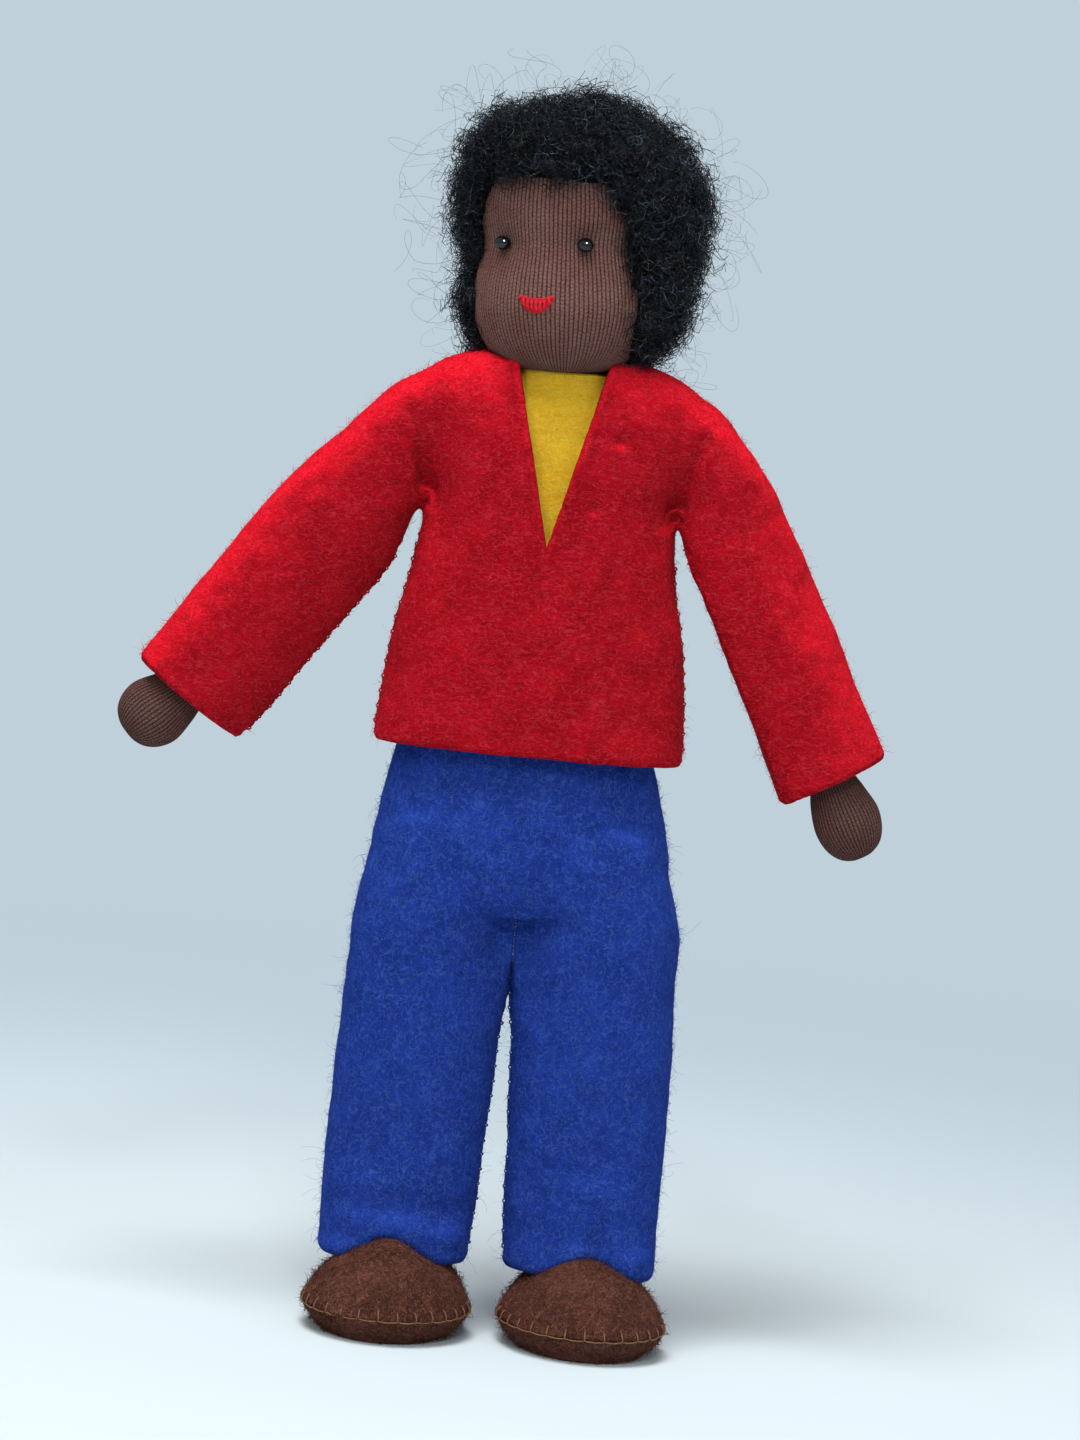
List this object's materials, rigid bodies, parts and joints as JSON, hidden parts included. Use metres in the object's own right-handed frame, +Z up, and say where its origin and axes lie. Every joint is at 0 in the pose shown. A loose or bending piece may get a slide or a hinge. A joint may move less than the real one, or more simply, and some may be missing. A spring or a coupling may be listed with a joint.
{
  "type": "bendable felt doll",
  "caption": "Bendable doll in felt clothes with a knitted head and hands, a curly wool cap of hair and weighted felt shoes, standing.",
  "frame": {"origin": "on the floor, in the middle of the doll's outline seen from above", "axes": "+Z up, the doll looks along -Y, its left hand is at +X"},
  "size_m": [0.0924, 0.033, 0.1499],
  "materials": {
    "red_felt": "matt felt",
    "yellow_felt": "matt felt",
    "blue_felt": "matt felt",
    "brown_felt": "matt felt",
    "knitted_skin": "fine knit",
    "curly_yarn": "curly boucle yarn",
    "black_bead": "polished",
    "red_thread": "embroidery thread",
    "brown_thread": "sewing thread",
    "white_wool": "loose wool",
    "steel_wire": "bare wire",
    "steel_plate": "bare plate"
  },
  "bodies": {
    "pelvis": {"trousers_seat": "blue_felt", "pelvis_padding": "white_wool", "pelvis_wire": "steel_wire"},
    "chest": {"sweater_body": "red_felt", "undershirt": "yellow_felt", "chest_padding": "white_wool", "chest_wire": "steel_wire"},
    "neck": {"neck_wire": "steel_wire", "neck_winding": "white_wool"},
    "head": {"head_skin": "knitted_skin", "head_wool": "white_wool", "eye_left": "black_bead", "eye_right": "black_bead", "mouth_stitch": "red_thread", "neck_tie": "brown_thread", "hair": "curly_yarn"},
    "shoulder_left": {"shoulder_knot_left": "white_wool"},
    "upper_arm_left": {"sleeve_upper_left": "red_felt", "upper_arm_winding_left": "white_wool", "upper_arm_wire_left": "steel_wire"},
    "forearm_left": {"sleeve_lower_left": "red_felt", "forearm_winding_left": "white_wool", "forearm_wire_left": "steel_wire"},
    "hand_left": {"hand_left": "knitted_skin", "hand_wire_left": "steel_wire", "wrist_tie_left": "brown_thread"},
    "hip_left": {"hip_knot_left": "white_wool"},
    "thigh_left": {"trouser_thigh_left": "blue_felt", "thigh_winding_left": "white_wool", "thigh_wire_left": "steel_wire"},
    "shin_left": {"trouser_shin_left": "blue_felt", "shin_winding_left": "white_wool", "shin_wire_left": "steel_wire"},
    "foot_left": {"shoe_upper_left": "brown_felt", "shoe_sole_left": "brown_felt", "foot_weight_left": "steel_plate", "foot_wire_left": "steel_wire"},
    "shoulder_right": {"shoulder_knot_right": "white_wool"},
    "upper_arm_right": {"sleeve_upper_right": "red_felt", "upper_arm_winding_right": "white_wool", "upper_arm_wire_right": "steel_wire"},
    "forearm_right": {"sleeve_lower_right": "red_felt", "forearm_winding_right": "white_wool", "forearm_wire_right": "steel_wire"},
    "hand_right": {"hand_right": "knitted_skin", "hand_wire_right": "steel_wire", "wrist_tie_right": "brown_thread"},
    "hip_right": {"hip_knot_right": "white_wool"},
    "thigh_right": {"trouser_thigh_right": "blue_felt", "thigh_winding_right": "white_wool", "thigh_wire_right": "steel_wire"},
    "shin_right": {"trouser_shin_right": "blue_felt", "shin_winding_right": "white_wool", "shin_wire_right": "steel_wire"},
    "foot_right": {"shoe_upper_right": "brown_felt", "shoe_sole_right": "brown_felt", "foot_weight_right": "steel_plate", "foot_wire_right": "steel_wire"}
  },
  "joints": [
    {"name": "waist_bend", "type": "hinge", "parent": "pelvis", "child": "chest", "pos_m": [0.00323, -0.0009, 0.07698], "axis": [1, 0, 0], "range_deg": [-12, 15]},
    {"name": "head_nod", "type": "hinge", "parent": "chest", "child": "neck", "pos_m": [0.00323, -0.0009, 0.11498], "axis": [1, 0, 0], "range_deg": [-10, 10]},
    {"name": "head_turn", "type": "hinge", "parent": "neck", "child": "head", "pos_m": [0.00323, -0.0009, 0.11498], "axis": [-0.0698, 0, 0.9976], "range_deg": [-42, 78]},
    {"name": "arm_swing_left", "type": "hinge", "parent": "chest", "child": "shoulder_left", "pos_m": [0.01873, -0.0009, 0.10998], "axis": [-1, 0, 0], "range_deg": [-45, 90], "deforming": ["sleeve_upper_left"]},
    {"name": "arm_raise_left", "type": "hinge", "parent": "shoulder_left", "child": "upper_arm_left", "pos_m": [0.01873, -0.0009, 0.10998], "axis": [0, -1, 0], "range_deg": [-4, 95], "deforming": ["sleeve_upper_left"]},
    {"name": "elbow_left", "type": "hinge", "parent": "upper_arm_left", "child": "forearm_left", "pos_m": [0.02909, -0.0009, 0.09057], "axis": [-0.6757, -0.6428, -0.3608], "range_deg": [0, 110], "deforming": ["sleeve_upper_left", "sleeve_lower_left"]},
    {"name": "wrist_left", "type": "hinge", "parent": "forearm_left", "child": "hand_left", "pos_m": [0.03785, -0.0009, 0.07417], "axis": [-0.6757, -0.6428, -0.3608], "range_deg": [-35, 35], "deforming": ["sleeve_lower_left"]},
    {"name": "leg_swing_left", "type": "hinge", "parent": "pelvis", "child": "hip_left", "pos_m": [0.01283, -0.0009, 0.05548], "axis": [-1, 0, 0], "range_deg": [-30, 90], "deforming": ["trouser_thigh_left"]},
    {"name": "leg_spread_left", "type": "hinge", "parent": "hip_left", "child": "thigh_left", "pos_m": [0.01283, -0.0009, 0.05548], "axis": [0, -1, 0], "range_deg": [0, 25], "deforming": ["trouser_thigh_left"]},
    {"name": "knee_left", "type": "hinge", "parent": "thigh_left", "child": "shin_left", "pos_m": [0.01349, -0.0009, 0.03199], "axis": [0.9996, 0, 0.0279], "range_deg": [0, 110], "deforming": ["trouser_thigh_left", "trouser_shin_left"]},
    {"name": "ankle_left", "type": "hinge", "parent": "shin_left", "child": "foot_left", "pos_m": [0.01414, -0.0009, 0.0085], "axis": [-0.9996, 0, -0.0279], "range_deg": [-20, 20], "deforming": ["trouser_shin_left"]},
    {"name": "arm_swing_right", "type": "hinge", "parent": "chest", "child": "shoulder_right", "pos_m": [-0.01227, -0.0009, 0.10998], "axis": [-1, 0, 0], "range_deg": [-45, 90], "deforming": ["sleeve_upper_right"]},
    {"name": "arm_raise_right", "type": "hinge", "parent": "shoulder_right", "child": "upper_arm_right", "pos_m": [-0.01227, -0.0009, 0.10998], "axis": [0, 1, 0], "range_deg": [-10, 95], "deforming": ["sleeve_upper_right"]},
    {"name": "elbow_right", "type": "hinge", "parent": "upper_arm_right", "child": "forearm_right", "pos_m": [-0.0247, -0.0009, 0.09183], "axis": [-0.8251, 0, 0.565], "range_deg": [0, 110], "deforming": ["sleeve_upper_right", "sleeve_lower_right"]},
    {"name": "wrist_right", "type": "hinge", "parent": "forearm_right", "child": "hand_right", "pos_m": [-0.03521, -0.0009, 0.07648], "axis": [-0.6769, 0, 0.7361], "range_deg": [-35, 35], "deforming": ["sleeve_lower_right"]},
    {"name": "leg_swing_right", "type": "hinge", "parent": "pelvis", "child": "hip_right", "pos_m": [-0.00637, -0.0009, 0.05548], "axis": [-1, 0, 0], "range_deg": [-30, 90], "deforming": ["trouser_thigh_right"]},
    {"name": "leg_spread_right", "type": "hinge", "parent": "hip_right", "child": "thigh_right", "pos_m": [-0.00637, -0.0009, 0.05548], "axis": [0, 1, 0], "range_deg": [0, 25], "deforming": ["trouser_thigh_right"]},
    {"name": "knee_right", "type": "hinge", "parent": "thigh_right", "child": "shin_right", "pos_m": [-0.00703, -0.0009, 0.03199], "axis": [0.9996, 0, -0.0279], "range_deg": [0, 110], "deforming": ["trouser_thigh_right", "trouser_shin_right"]},
    {"name": "ankle_right", "type": "hinge", "parent": "shin_right", "child": "foot_right", "pos_m": [-0.00768, -0.0009, 0.0085], "axis": [-0.9996, 0, 0.0279], "range_deg": [-20, 20], "deforming": ["trouser_shin_right"]}
  ]
}
